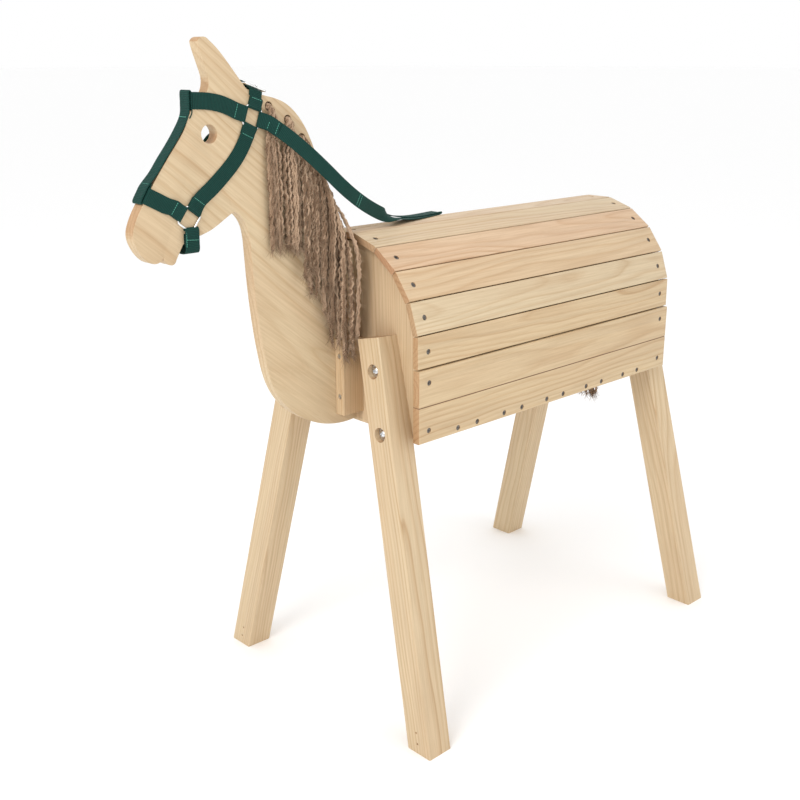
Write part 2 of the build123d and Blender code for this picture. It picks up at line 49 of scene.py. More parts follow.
BOARD_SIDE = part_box("neck_board")[1].y  # half the neck board's thickness
SEED = 71
WEB = 1.4 * MM  # the webbing's thickness
WEB_WIDTH = 21 * MM
RIB_PITCH = 2.1 * MM  # between the webbing's cross ribs
WARP_PITCH = 1.1 * MM  # between the threads along it, two apart
WIRE_RADIUS = 1.5 * MM
RING_MIDDLE = BOARD_SIDE + 1.8 * MM  # y of the left rings' wire
SIDES = {"left": 1, "right": -1}
X, Y, Z = Vector((1, 0, 0)), Vector((0, 1, 0)), Vector((0, 0, 1))
TURN = 2 * pi


def at(x, y, z):
    """A point given in millimetres: forward of the planks' front ends, left and up."""
    return Vector((PLANK_ENDS + x * MM, y * MM, z * MM))


def linked(name, data):
    """A new object in the scene."""
    made = bpy.data.objects.new(name, data)
    bpy.context.scene.collection.objects.link(made)
    return made


# ---- camera, light and floor ----
def make_camera():
    data = bpy.data.cameras.new("camera")
    data.lens = 48.84
    data.sensor_width = 36
    camera = linked("camera", data)
    camera.location = (1.19047, 1.19830, 0.98050)
    camera.rotation_euler = [radians(a) for a in (72.542, 0, 136.398)]
    bpy.context.scene.camera = camera


LIT_HEIGHT = 0.55  # height that the lamps point at


def area_light(name, place, size, power):
    data = bpy.data.lights.new(name, "AREA")
    data.size = size
    data.energy = power
    light = linked(name, data)
    light.location = place
    aim = Vector((0, 0, LIT_HEIGHT)) - Vector(place)
    light.rotation_euler = aim.to_track_quat("-Z", "Y").to_euler()


def make_studio():
    world = bpy.data.worlds.new("studio")
    bpy.context.scene.world = world
    world.use_nodes = True
    background = world.node_tree.nodes["Background"]
    background.inputs["Color"].default_value = (1, 1, 1, 1)
    background.inputs["Strength"].default_value = 1.0
    area_light("key", (2.4, 0.7, 2.3), 1.3, 34)
    area_light("fill", (-1.0, 2.6, 1.8), 2.0, 10)
    area_light("back", (-1.5, -2.0, 2.4), 2.0, 5)
    bpy.ops.mesh.primitive_plane_add(size=240, location=(0, 0, 0))
    floor = bpy.context.object
    floor.name = "floor"
    paint = new_material("floor_paint")
    to_shader(paint, Base_Color=(0.985, 0.985, 0.985, 1), Roughness=0.9)
    floor.data.materials.append(paint)
    bpy.context.scene.view_settings.view_transform = "Standard"


# ---- node helpers ----
def new_material(name):
    material = bpy.data.materials.new(name)
    material.use_nodes = True
    return material


def feed(tree, socket, value):
    """Links a socket to another, or sets its value."""
    if isinstance(value, bpy.types.NodeSocket):
        tree.links.new(value, socket)
    else:
        socket.default_value = value


def node(tree, kind, links=None, **settings):
    """A new shader node, with settings by attribute, and links as {input: socket or value}."""
    made = tree.nodes.new(f"ShaderNode{kind}")
    for key, value in settings.items():
        setattr(made, key, value)
    for key, value in (links or {}).items():
        feed(tree, made.inputs[key], value)
    return made


def math_node(tree, operation, a, b=0.0, clamp=False):
    return node(tree, "Math", {0: a, 1: b}, operation=operation, use_clamp=clamp).outputs[0]


def times(tree, a, b):
    return math_node(tree, "MULTIPLY", a, b)


def weighted(tree, total, *pairs):
    """A start value plus each value times its weight."""
    for value, weight in pairs:
        total = math_node(tree, "ADD", times(tree, value, weight), total)
    return total


def vector_node(tree, operation, a, b):
    return node(tree, "VectorMath", {0: a, 1: b}, operation=operation).outputs[0]


def noise(tree, vector, scale, detail):
    return node(tree, "TexNoise", {"Vector": vector, "Scale": scale, "Detail": detail})


def ramp(tree, value, stops):
    """A colour ramp, with stops as (place, grey or colour)."""
    made = node(tree, "ValToRGB", {"Fac": value})
    elements = made.color_ramp.elements
    while len(elements) < len(stops):
        elements.new(0.5)
    for element, (place, colour) in zip(elements, stops):
        element.position = place
        element.color = (*colour, 1) if isinstance(colour, tuple) else (colour, colour, colour, 1)
    return made.outputs["Color"]


def mix(tree, factor, a, b, blend="MIX"):
    """Two colours mixed. Inputs 6 and 7 of a Mix node are its colours, and output 2 is its colour."""
    made = node(tree, "Mix", {0: factor, 6: a, 7: b}, data_type="RGBA", blend_type=blend)
    return made.outputs[2]


def multiply(tree, a, b):
    return mix(tree, 1.0, a, b, "MULTIPLY")


def new_group(name, inputs, outputs):
    """An empty node group with sockets as (name, kind), what it is given, and what it puts out."""
    group = bpy.data.node_groups.new(name, "ShaderNodeTree")
    for label, kind in inputs:
        group.interface.new_socket(label, in_out="INPUT", socket_type=f"NodeSocket{kind}")
    for label, kind in outputs:
        group.interface.new_socket(label, in_out="OUTPUT", socket_type=f"NodeSocket{kind}")
    return group, group.nodes.new("NodeGroupInput").outputs, group.nodes.new("NodeGroupOutput").inputs


def placed(material, group, **values):
    """The group as a node in a material, with its inputs set."""
    made = material.node_tree.nodes.new("ShaderNodeGroup")
    made.node_tree = group
    for key, value in values.items():
        feed(material.node_tree, made.inputs[key], value)
    return made.outputs


def bump(material, height, distance, strength):
    """A height, in units of distance, on the material's normal."""
    tree = material.node_tree
    made = node(tree, "Bump", {"Height": height, "Distance": distance, "Strength": strength})
    tree.links.new(made.outputs["Normal"], tree.nodes["Principled BSDF"].inputs["Normal"])


def to_shader(material, **sockets):
    """Feeds a material's shader, whose sockets are named with _ for a space."""
    shader = material.node_tree.nodes["Principled BSDF"]
    for key, value in sockets.items():
        feed(material.node_tree, shader.inputs[key.replace("_", " ")], value)


# ---- pine ----
def pine_group():
    """Sawn pine. The grain runs along the vector's X and the middle of the tree is at its Y = Z = 0."""
    group, given, out = new_group(
        "pine_figure",
        [("Vector", "Vector"), ("Seed", "Float"), ("Ring", "Float"), ("Contrast", "Float"),
         ("Early", "Color"), ("Late", "Color")],
        [("Color", "Color"), ("Roughness", "Float"), ("Height", "Float")],
    )
    away = node(group, "CombineXYZ", {0: times(group, given["Seed"], 3.1)})
    spot = vector_node(group, "ADD", given["Vector"], away.outputs[0])

    def streaks(along, across, detail):
        """Noise of so many patches a metre along the grain and across it."""
        stretched = vector_node(group, "MULTIPLY", spot, (along, across, across))
        return noise(group, stretched, 1.0, detail).outputs

    sway = vector_node(group, "SUBTRACT", streaks(2.4, 9, 2.0)["Color"], (0.5, 0.5, 0.5))
    bent = vector_node(group, "ADD", given["Vector"], vector_node(group, "MULTIPLY", sway, (0, 0.034, 0.034)))
    split = node(group, "SeparateXYZ", {0: bent})
    squares = weighted(group, 0.0, *((split.outputs[i], split.outputs[i]) for i in (1, 2)))
    radius = math_node(group, "SQRT", squares)  # from the middle of the tree
    count = math_node(group, "DIVIDE", radius, given["Ring"])
    count = weighted(group, given["Seed"], (streaks(1.0, 30, 1.0)["Fac"], 1.6), (count, 1.0))
    part = math_node(group, "FRACT", count)
    late = ramp(group, part, [(0.0, 0.55), (0.1, 0.1), (0.45, 0.04), (0.8, 0.55), (0.93, 1.0), (1.0, 0.55)])
    whole = math_node(group, "FLOOR", count)
    each = node(group, "TexWhiteNoise", {"W": whole}, noise_dimensions="1D")
    strength = weighted(group, 0.35, (each.outputs["Value"], 0.75))
    late = times(group, late, strength)
    late = math_node(group, "MULTIPLY", late, given["Contrast"], clamp=True)
    fibre = streaks(9, 420, 3.0)["Fac"]
    pores = ramp(group, streaks(34, 1100, 1.0)["Fac"], [(0.66, 0.0), (0.74, 1.0)])
    tone = streaks(2.0, 14, 2.0)["Fac"]
    colour = mix(group, late, given["Early"], given["Late"])
    fade = ramp(group, fibre, [(0.25, (0.88, 0.86, 0.83)), (0.7, (1.05, 1.05, 1.05))])
    colour = multiply(group, colour, fade)
    blush = ramp(group, tone, [(0.3, (1.02, 1.02, 1.0)), (0.72, (0.97, 0.92, 0.88))])
    colour = multiply(group, colour, blush)
    colour = mix(group, times(group, pores, 0.22), colour, (0.36, 0.20, 0.09, 1))
    rough = weighted(group, 0.47, (fibre, 0.16))
    height = weighted(group, 0.0, (fibre, 0.6), (late, 0.5), (pores, -0.5))
    group.links.new(colour, out["Color"])
    group.links.new(rough, out["Roughness"])
    group.links.new(height, out["Height"])
    return group


EARLY_WOOD = (0.612, 0.489, 0.334)
LATE_WOOD = (0.44, 0.285, 0.150)
SAWN_END = (0.80, 0.66, 0.57, 1)  # multiplies the colour of sawn ends
# the colour of the painted shade along the side boards' groove
GROOVE_PAINTED_SHADE = (0.20, 0.11, 0.055, 1)
GROOVE_SHADE_HALF_WIDTH = 1.0 * MM  # half the width of the painted shade line along the groove


def pine(name, middle, grain, heart, ring, contrast, tint, seed, groove=None):
    """Pine for one board. grain is its direction, heart leads from middle to the tree's middle, ring is a
    year's growth in millimetres, and groove is the height of a groove along the board, which gets a line of
    painted shade."""
    material = new_material(name)
    tree = material.node_tree
    along = Vector(grain).normalized()
    inward = Vector(heart)
    across = along.cross(inward).normalized()
    coordinate = node(tree, "TexCoord").outputs["Object"]
    local = vector_node(tree, "SUBTRACT", coordinate, tuple(Vector(middle) + inward))

    def dot(a, b):
        return node(tree, "VectorMath", {0: a, 1: tuple(b)}, operation="DOT_PRODUCT").outputs["Value"]

    own = {i: dot(local, axis) for i, axis in enumerate((along, across, along.cross(across)))}
    wood = placed(
        material, PINE, Vector=node(tree, "CombineXYZ", own).outputs[0], Seed=seed, Ring=ring * MM,
        Contrast=contrast, Early=(*(c * t for c, t in zip(EARLY_WOOD, tint)), 1),
        Late=(*(c * t for c, t in zip(LATE_WOOD, tint)), 1),
    )
    facing = dot(node(tree, "NewGeometry").outputs["True Normal"], along)
    sawn = ramp(tree, math_node(tree, "ABSOLUTE", facing), [(0.62, 0.0), (0.9, 1.0)])
    colour = mix(tree, sawn, wood["Color"], multiply(tree, wood["Color"], SAWN_END))
    if groove:
        # painted shade: a dark line along the groove, where the groove's shadow falls
        height = node(tree, "SeparateXYZ", {0: coordinate}).outputs[2]
        off = math_node(tree, "ABSOLUTE", math_node(tree, "SUBTRACT", height, groove))
        dark = ramp(tree, math_node(tree, "DIVIDE", off, GROOVE_SHADE_HALF_WIDTH), [(0.45, 1.0), (1.0, 0.0)])
        colour = mix(tree, dark, colour, GROOVE_PAINTED_SHADE)
    to_shader(material, Base_Color=colour, Roughness=wood["Roughness"], Specular_IOR_Level=0.35)
    bump(material, wood["Height"], 0.00012, 0.7)
    return material


def middle_of(name):
    low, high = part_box(name)
    return (low + high) / 2


def mode(name):
    bpy.ops.object.mode_set(mode=name)


def only(obj):
    """Selects one object and makes it the active one."""
    bpy.ops.object.select_all(action="DESELECT")
    obj.select_set(True)
    bpy.context.view_layer.objects.active = obj


def apply_modifiers(obj):
    only(obj)
    for modifier in list(obj.modifiers):
        bpy.ops.object.modifier_apply(modifier=modifier.name)


def eased(name, width, material, segments=2):
    """A CAD board's shape with its sharp edges rounded, in place of the board."""
    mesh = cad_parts[name].data.copy()
    mesh.materials.clear()
    board = linked(f"{name}_wood", mesh)
    only(board)
    mode("EDIT")
    bpy.ops.mesh.select_all(action="SELECT")
    bpy.ops.mesh.remove_doubles(threshold=0.00001)
    bpy.ops.mesh.dissolve_limited(angle_limit=radians(0.6), delimit={"NORMAL"})
    mode("OBJECT")
    soften = board.modifiers.new("ease", "BEVEL")
    soften.width = width
    soften.segments = segments
    soften.limit_method = "ANGLE"
    soften.angle_limit = radians(40)
    soften.miter_outer = "MITER_ARC"
    apply_modifiers(board)
    bpy.ops.object.shade_smooth_by_angle(angle=radians(35))
    mesh.materials.append(material)
    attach(board, "horse")
    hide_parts(name)


PLANKS = ["top_plank"] + [f"{side}_plank_{i}" for side in SIDES for i in range(1, 6)]
SIDE_BOARDS = [f"{side}_side_board" for side in SIDES]
PANELS = ["front_end_panel", "rear_end_panel"]
SLATS = [f"floor_slat_{i}" for i in range(1, 6)]
LEGS = [f"{end}_{side}_leg" for end in ("front", "rear") for side in SIDES]
CLEATS = [f"{side}_neck_cleat" for side in SIDES]
BARREL_MIDDLE = 585 * MM  # height of the barrel's axis
BARREL_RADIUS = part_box("top_plank")[1].z - BARREL_MIDDLE
PANEL_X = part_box("front_end_panel")[1].x  # front face of the front end panel


PLANK_TINTS = [
    (1.0, 0.98, 1.0), (1.0, 1.01, 1.02), (1.02, 0.93, 0.92), (1.0, 0.96, 0.92), (0.99, 1.01, 1.0),
    (0.98, 0.95, 0.88),
]
PLAIN_BOARDS = [  # names, grain, way to the tree's middle, ring, contrast, tint
    (PANELS, Z, (0.05, 0.03, 0), 4.5, 0.6, (1.0, 0.96, 0.91)),
    (SLATS, Y, (0.02, 0, 0.05), 4.0, 0.7, (1, 0.98, 0.95)),
    (CLEATS, Z, (0.04, 0.02, 0), 3.5, 0.6, (1, 0.95, 0.88)),
]
LEG_RAKE, LEG_SPLAY = 0.059, 0.241  # a leg's run forward or back, and outward, for each metre down
NECK_GRAIN = radians(38)


def make_planks(chance):
    for count, name in enumerate(PLANKS + SIDE_BOARDS):
        middle = middle_of(name)
        outward = (middle - Vector((middle.x, 0, BARREL_MIDDLE))).normalized()
        aside = outward.cross(X)
        heart = -outward * chance.uniform(0.03, 0.07) + aside * chance.uniform(-0.035, 0.035)
        grain = X + outward * chance.uniform(-0.03, 0.03) + aside * chance.uniform(-0.012, 0.012)
        ring, contrast = chance.uniform(4.0, 7.5), chance.uniform(0.6, 0.9)
        tint = PLANK_TINTS[count % len(PLANK_TINTS)]
        grooved = name in SIDE_BOARDS
        wood = pine(f"pine_{name}", middle, grain, heart, ring, contrast, tint, chance.uniform(0, 60),
                    middle.z if grooved else None)
        eased(name, (0.3 if grooved else 0.9) * MM, wood)


def make_legs(chance):
    for name in LEGS:
        middle = middle_of(name)
        outward = copysign(1, middle.y)
        forward = copysign(1, middle.x - middle_of("top_plank").x)
        grain = Vector((LEG_RAKE * forward, LEG_SPLAY * outward, -1)).normalized() + Y * 0.02 * outward
        heart = (0.018 * forward, -0.038 * outward, 0)
        wood = pine(f"pine_{name}", middle, grain, heart, 6.0, 0.75, (1, 0.985, 0.95), chance.uniform(0, 60))
        eased(name, 1.8 * MM, wood, 3)


def make_wood():
    """Every wooden piece, each cut from its own place in a tree."""
    chance = random.Random(SEED)
    make_planks(chance)
    for names, grain, heart, ring, contrast, tint in PLAIN_BOARDS:
        for name in names:
            seed = chance.uniform(0, 60)
            wood = pine(f"pine_{name}", middle_of(name), grain, heart, ring, contrast, tint, seed)
            eased(name, 1.0 * MM, wood)
    make_legs(chance)
    grain = (cos(NECK_GRAIN), 0.02, sin(NECK_GRAIN))
    wood = pine("pine_neck_board", middle_of("neck_board"), grain, (0.06, -0.16, -0.07), 8.5, 0.6,
                (1.0, 0.99, 0.95), 12.3)
    eased("neck_board", 2.0 * MM, wood, 4)


# ---- metal ----
def metal_group():
    """Fine scratches and dull spots on metal."""
    group, given, out = new_group(
        "metal_wear", [("Vector", "Vector"), ("Polish", "Float")],
        [("Roughness", "Float"), ("Height", "Float"), ("Dull", "Float")],
    )
    spots = noise(group, given["Vector"], 260.0, 3.0).outputs["Fac"]
    drawn = vector_node(group, "MULTIPLY", given["Vector"], (300, 2600, 900))
    scratch = noise(group, drawn, 1.0, 1.0).outputs["Fac"]
    rough = weighted(group, given["Polish"], (spots, 0.14))
    dull = ramp(group, spots, [(0.45, 0.0), (0.7, 1.0)])
    group.links.new(rough, out["Roughness"])
    group.links.new(scratch, out["Height"])
    group.links.new(dull, out["Dull"])
    return group


def metal(name, colour, dark, polish):
    material = new_material(name)
    tree = material.node_tree
    coordinate = node(tree, "TexCoord").outputs["Object"]
    wear = placed(material, METAL, Vector=coordinate, Polish=polish)
    colours = mix(tree, wear["Dull"], (*colour, 1), (*dark, 1))
    to_shader(material, Base_Color=colours, Metallic=1.0, Roughness=wear["Roughness"])
    bump(material, wear["Height"], 0.00002, 0.5)
    return material


RINGS = [f"{side}_{level}_ring" for side in SIDES for level in ("upper", "lower")]


def make_metal():
    """Finishes for the CAD's own metal pieces."""
    nickel = metal("nickel", (0.83, 0.83, 0.82), (0.66, 0.66, 0.66), 0.14)
    zinc = metal("zinc_plate", (0.72, 0.73, 0.74), (0.5, 0.5, 0.51), 0.22)
    steel = metal("screw_steel", (0.20, 0.18, 0.16), (0.07, 0.06, 0.05), 0.30)
    for finish, names in (
        (nickel, RINGS + ["crown_buckle", "buckle_tongue"]),
        (zinc, ["leg_bolts", "leg_washers", "leg_nuts", "cleat_screws"]),
        (steel, ["plank_screws", "floor_screws"]),
    ):
        for name in names:
            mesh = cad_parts[name].data
            mesh.materials.clear()
            mesh.materials.append(finish)


# ---- webbing ----
def weave_group():
    """Ribbed webbing: the vector's X is across it and Y along it, in metres. Its shade output is painted
    shade, darker in the weave's hollows and lighter on its ribs, with random tone mixed in.
    """
    group, given, out = new_group(
        "web_weave", [("Vector", "Vector")],
        [("Painted_Shade_And_Tone", "Color"), ("Height", "Float"), ("Roughness", "Float")],
    )
    split = node(group, "SeparateXYZ", {0: given["Vector"]})
    across, along = split.outputs[0], split.outputs[1]
    rib = math_node(group, "SINE", times(group, along, TURN / RIB_PITCH))
    end = math_node(group, "SINE", times(group, across, TURN / WARP_PITCH))
    step = times(group, math_node(group, "SIGN", end), pi / 2)
    cross = math_node(group, "SINE", weighted(group, step, (along, pi / RIB_PITCH)))
    height = weighted(group, 0.0, (rib, 0.5), (cross, 0.22), (math_node(group, "ABSOLUTE", end), 0.18))
    fuzz = noise(group, given["Vector"], 900.0, 2.0).outputs["Fac"]
    patch = noise(group, given["Vector"], 55.0, 2.0).outputs["Fac"]
    # painted shade: the brightness follows the weave's height, darker in its hollows and lighter on its ribs;
    # the two noises add random tone
    level = weighted(group, 0.55, (height, 0.55), (fuzz, 0.35), (patch, 0.25))
    painted_shade_and_tone = node(group, "CombineXYZ", {0: level, 1: level, 2: level}).outputs[0]
    rough = weighted(group, 0.62, (fuzz, 0.2))
    group.links.new(painted_shade_and_tone, out["Painted_Shade_And_Tone"])
    group.links.new(height, out["Height"])
    group.links.new(rough, out["Roughness"])
    return group


def webbing_material():
    material = new_material("green_webbing")
    tree = material.node_tree
    laid = node(tree, "UVMap", uv_map="UVMap").outputs[0]
    weave = placed(material, WEAVE, Vector=laid)
    # the weave's painted shade and random tone multiply the green
    colour = multiply(tree, (0.0048, 0.046, 0.036, 1), weave["Painted_Shade_And_Tone"])
    to_shader(material, Base_Color=colour, Roughness=weave["Roughness"], Specular_IOR_Level=0.2,
              Sheen_Weight=0.05, Sheen_Roughness=0.4, Sheen_Tint=(0.35, 0.75, 0.65, 1))
    bump(material, weave["Height"], 0.0004, 1.0)
    return material


def thread_material():
    material = new_material("stitch_thread")
    tree = material.node_tree
    coordinate = node(tree, "TexCoord").outputs["Object"]
    lay = noise(tree, coordinate, 2400.0, 1.0).outputs["Fac"]
    colour = ramp(tree, lay, [(0.3, (0.05, 0.30, 0.21)), (0.7, (0.12, 0.50, 0.37))])
    to_shader(material, Base_Color=colour, Roughness=0.6, Sheen_Weight=0.3)
    bump(material, lay, 0.0001, 0.8)
    return material


def through(points, step):
    """A smooth line through the points, sampled about every step along it."""
    padded = [points[0], *points, points[-1]]
    line = []
    for before, a, b, after in zip(padded, padded[1:], padded[2:], padded[3:]):
        gap = (b - a).length
        start, end = (b - before).normalized() * gap, (after - a).normalized() * gap
        count = max(2, round(gap / step))
        for t in (k / count for k in range(count)):
            line.append(
                a * (2 * t**3 - 3 * t**2 + 1) + start * (t**3 - 2 * t**2 + t)
                + b * (3 * t**2 - 2 * t**3) + end * (t**3 - t**2)
            )
    return line + [points[-1]]


def heading(line, i):
    """The direction of a line at its point i."""
    return (line[min(i + 1, len(line) - 1)] - line[max(i - 1, 0)]).normalized()


def arc(middle, start, side, steps):
    """Points of the half turn round middle from the arm start past the arm side."""
    angles = [pi * k / steps for k in range(steps + 1)]
    return [middle + start * cos(a) + side * sin(a) for a in angles]


def ribbon(name, line, across, body, width=WEB_WIDTH, columns=6, slot_rows=()):
    """Webbing along line, with its width direction at each point in across, and a slot between slot_rows."""
    rows = len(line)
    bpy.ops.object.select_all(action="DESELECT")
    bpy.ops.mesh.primitive_grid_add(x_subdivisions=columns, y_subdivisions=rows - 1, size=2)
    strap = bpy.context.object
    strap.name = name
    mesh = strap.data
    travelled = [0.0]
    for a, b in zip(line, line[1:]):
        travelled.append(travelled[-1] + (b - a).length)
    where = {}
    for vertex in mesh.vertices:
        row = round((vertex.co.y + 1) / 2 * (rows - 1))
        side = vertex.co.x / 2
        where[vertex.index] = (side * width, travelled[row])
        vertex.co = line[row] + across[row] * (side * width)
    uv = mesh.uv_layers[0]
    for loop in mesh.loops:
        uv.data[loop.index].uv = where[loop.vertex_index]
    if slot_rows:
        cut_slot(strap, where, travelled, slot_rows, width / columns)
    wall = strap.modifiers.new("wall", "SOLIDIFY")
    wall.thickness = WEB
    wall.offset = 0
    edge = strap.modifiers.new("edge", "BEVEL")
    edge.width = WEB * 0.3
    edge.segments = 2
    edge.limit_method = "ANGLE"
    edge.angle_limit = radians(50)
    apply_modifiers(strap)
    bpy.ops.object.shade_smooth_by_angle(angle=radians(50))
    mesh.materials.append(WEBBING)
    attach(strap, body)
    return strap


def cut_slot(strap, where, travelled, slot_rows, column):
    """Takes away a strap's middle column between two rows."""
    only(strap)
    mode("EDIT")
    bpy.ops.mesh.select_mode(type="FACE")
    bpy.ops.mesh.select_all(action="DESELECT")
    mode("OBJECT")
    first, last = travelled[slot_rows[0]], travelled[slot_rows[1]]
    for polygon in strap.data.polygons:
        spots = [where[v] for v in polygon.vertices]
        side = sum(s for s, _ in spots) / len(spots)
        along = sum(d for _, d in spots) / len(spots)
        polygon.select = abs(side) < column * 0.6 and first < along < last
    mode("EDIT")
    bpy.ops.mesh.delete(type="FACE")
    mode("OBJECT")


STITCH_LENGTH = 2.2 * MM
STITCH_GAP = 0.8 * MM
THREAD_RADIUS = 0.4 * MM


def stitch_rows(name, rows, body):
    """Stitches as short threads. A row is (start, end, outward normal)."""
    bpy.ops.object.select_all(action="DESELECT")
    bpy.ops.mesh.primitive_cylinder_add(vertices=6, radius=THREAD_RADIUS, depth=STITCH_LENGTH)
    model = bpy.context.object
    mode("EDIT")
    bpy.ops.mesh.select_all(action="SELECT")
    bpy.ops.mesh.bevel(offset=THREAD_RADIUS * 0.5, segments=1)
    mode("OBJECT")
    copies = []
    for start, end, normal in rows:
        run = end - start
        count = max(1, round(run.length / (STITCH_LENGTH + STITCH_GAP)))
        along = run.normalized()
        lift = (normal - along * normal.dot(along)).normalized()
        turned = Matrix((lift, along.cross(lift), along)).transposed().to_4x4()
        for k in range(count):
            copy = linked(name, model.data.copy())
            middle = start + run * ((k + 0.5) / count)
            copy.data.transform(Matrix.Translation(middle) @ turned)
            copies.append(copy)
    bpy.data.objects.remove(model)
    thread = copies[0]
    only(thread)
    for copy in copies:
        copy.select_set(True)
    bpy.ops.object.join()
    mode("EDIT")
    bpy.ops.mesh.select_all(action="SELECT")
    bpy.ops.mesh.normals_make_consistent(inside=False)
    mode("OBJECT")
    bpy.ops.object.shade_smooth_by_angle(angle=radians(60))
    thread.data.materials.append(THREAD)
    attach(thread, body)
    return thread


def flip(vectors, side=-1):
    """Left-hand points or directions, mirrored to the right where side is -1."""
    return [Vector((v.x, v.y * side, v.z)) for v in vectors]


def both_sides(*row):
    """A row of stitches and its mirror image."""
    return [tuple(flip(row, side)) for side in SIDES.values()]


def in_plane(direction):
    """The width direction of a strap lying on the board that runs along direction."""
    flat = Vector((direction.x, 0, direction.z)).normalized()
    return Vector((-flat.z, 0, flat.x))


BAR_OUT = 12.5 * MM  # ring middle to a bar's middle
UPPER_WIRE = at(160.6, 0, 908.2) + Y * RING_MIDDLE  # the middles of the left rings
LOWER_WIRE = at(265.0, 0, 785.5) + Y * RING_MIDDLE
STRAP_STEP = 1.6 * MM  # between the rows of a strap's mesh
LOOP_RADIUS = WIRE_RADIUS + WEB / 2 + 0.1 * MM
FLAT_OUT = BOARD_SIDE + WEB / 2 + 0.25 * MM  # y of webbing that lies on the board
DOUBLE_OUT = FLAT_OUT + WEB + 0.05 * MM  # y of the upper layer where it is doubled


def ring_arms(turn):
    """The forward and the upward direction of a ring turned by so many degrees."""
    angle = radians(turn)
    forward = Vector((cos(angle), 0, sin(angle)))
    return forward, Vector((-forward.z, 0, forward.x))


FORWARD, UPWARD = ring_arms(19)  # of the upper rings
LOW_FORWARD, LOW_UPWARD = ring_arms(37)  # of the lower rings


def off_bar(bar, away, reach, out):
    """The point at a reach from a bar along away, so far out from the middle of the head."""
    place = bar + away * reach
    return Vector((place.x, out, place.z))


def looped_start(bar, away, fold):
    """A strap's folded end, from its hidden tail round the bar to where its upper layer is sewn down."""
    tail = off_bar(bar, away, fold, FLAT_OUT)
    under = off_bar(bar, away, 2.4 * MM, FLAT_OUT - 0.3 * MM)
    round_bar = arc(bar, -Y * LOOP_RADIUS, -away * LOOP_RADIUS, 8)
    down = off_bar(bar, away, 4.5 * MM, DOUBLE_OUT + 0.35 * MM)
    sewn = off_bar(bar, away, fold, DOUBLE_OUT)
    return [tail, (tail + under) / 2, under, *round_bar[1:], down, sewn]


def strap_counts(points):
    """How many rows of a strap lie between each control point and the next."""
    return [max(2, round((b - a).length / STRAP_STEP)) for a, b in zip(points, points[1:])]


def spread_along(points, across):
    """The width direction at every row of a strap."""
    spread = []
    for i, count in enumerate(strap_counts(points)):
        spread += [across[i].lerp(across[i + 1], k / count).normalized() for k in range(count)]
    return spread + [across[-1].normalized()]


def lay_strap(name, points, across, node_name, body="horse", **options):
    """A strap along control points whose width directions are given at each of them."""
    strap = ribbon(name, through(points, STRAP_STEP), spread_along(points, across), body, **options)
    if node_name:
        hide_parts(node_name)
    return strap


def lay_round_head(name, left, wide, node_name):
    """A strap given from its left end to the middle of the head, with the right half as its mirror image."""
    lay_strap(name, left + flip(reversed(left[:-1])), wide + wide[-2::-1], node_name)


def seams(bar, away, reach, width=WEB_WIDTH - 3 * MM):
    """Rows of stitches across a strap's looped end, on both sides of the head."""
    place = off_bar(bar, away, reach, DOUBLE_OUT + WEB / 2)
    half = in_plane(away) * width / 2
    return both_sides(place - half, place + half, Y)


NOSE = at(322.7, 0, 819.3)  # where the noseband crosses the front edge of the head
NOSE_EDGE = Vector((0.528, 0, -0.849))  # down along that edge
NOSE_OUT = Vector((0.849, 0, 0.528))  # square to it
FLAT = FLAT_OUT / MM


def make_browband():
    """From one upper ring round the brow to the other."""
    bar = UPPER_WIRE + FORWARD * BAR_OUT
    start = looped_start(bar, FORWARD, 15 * MM)
    left = start + [
        at(196, FLAT + 0.3, 921.6), at(210, FLAT, 926.4), at(228, FLAT, 929.6),
        at(243, FLAT, 930.6), at(249.4, FLAT - 1.2, 930.8), at(252.4, FLAT - 4.6, 930.8),
        at(252.9, 0, 930.8),
    ]
    wide = [UPWARD] * len(start) + [in_plane(Vector((1, 0, rise))) for rise in (0.26, 0.22, 0.1)]
    lay_round_head("browband_webbing", left, wide + [Z] * (len(left) - len(wide)), "browband")
    return seams(bar, FORWARD, 14.5 * MM)


def make_noseband():
    """From one lower ring round the nose to the other."""
    bar = LOWER_WIRE + LOW_FORWARD * BAR_OUT
    start = looped_start(bar, LOW_FORWARD, 14 * MM)
    left = start + [
        at(296.5, FLAT + 0.2, 805.4), at(309, FLAT, 812), NOSE - NOSE_OUT * 2.0 * MM + Y * FLAT_OUT,
        NOSE + NOSE_OUT * 1.7 * MM + Y * (FLAT_OUT - 1.6 * MM), NOSE + NOSE_OUT * 2.7 * MM + Y * 4.5 * MM,
        NOSE + NOSE_OUT * 2.7 * MM,
    ]
    wide = [LOW_UPWARD] * len(start) + [-NOSE_EDGE.lerp(-LOW_UPWARD, 0.3)]
    lay_round_head("noseband_webbing", left, wide + [-NOSE_EDGE] * (len(left) - len(wide)), "noseband")
    return seams(bar, LOW_FORWARD, 13.5 * MM)


RIGHT_CHEEK_SLACK = (17, 18, 12, 4)  # how far the right cheek strap bows forward at each point of its run


def make_cheek_straps():
    """From each upper ring down to the lower one."""
    top = UPPER_WIRE - UPWARD * BAR_OUT
    bottom = LOWER_WIRE + LOW_UPWARD * BAR_OUT
    away = Vector((0.42, 0, -0.907))
    start = looped_start(top, away, 13 * MM)
    end = looped_start(bottom, LOW_UPWARD, 15 * MM)[::-1]
    for label, side in SIDES.items():
        run = [
            at(179, FLAT + 0.2, 868.5), at(191, FLAT, 853.5), at(207, FLAT, 838.5),
            at(226, FLAT, 823),
        ]
        if side < 0:
            run = [p + Vector((slack, slack, slack * 0.6)) * MM for p, slack in zip(run, RIGHT_CHEEK_SLACK)]
        wide = [in_plane(away)] * len(start)
        wide += [in_plane(b - a) for a, b in zip([start[-1], *run[:-1]], [*run[1:], end[0]])]
        wide += [in_plane(-LOW_UPWARD)] * len(end)
        points = flip(start + run + end, side)
        lay_strap(f"{label}_cheek_webbing", points, flip(wide, side), f"{label}_cheek_strap")
    return seams(top, away, 12.5 * MM) + seams(bottom, LOW_UPWARD, 14.5 * MM)


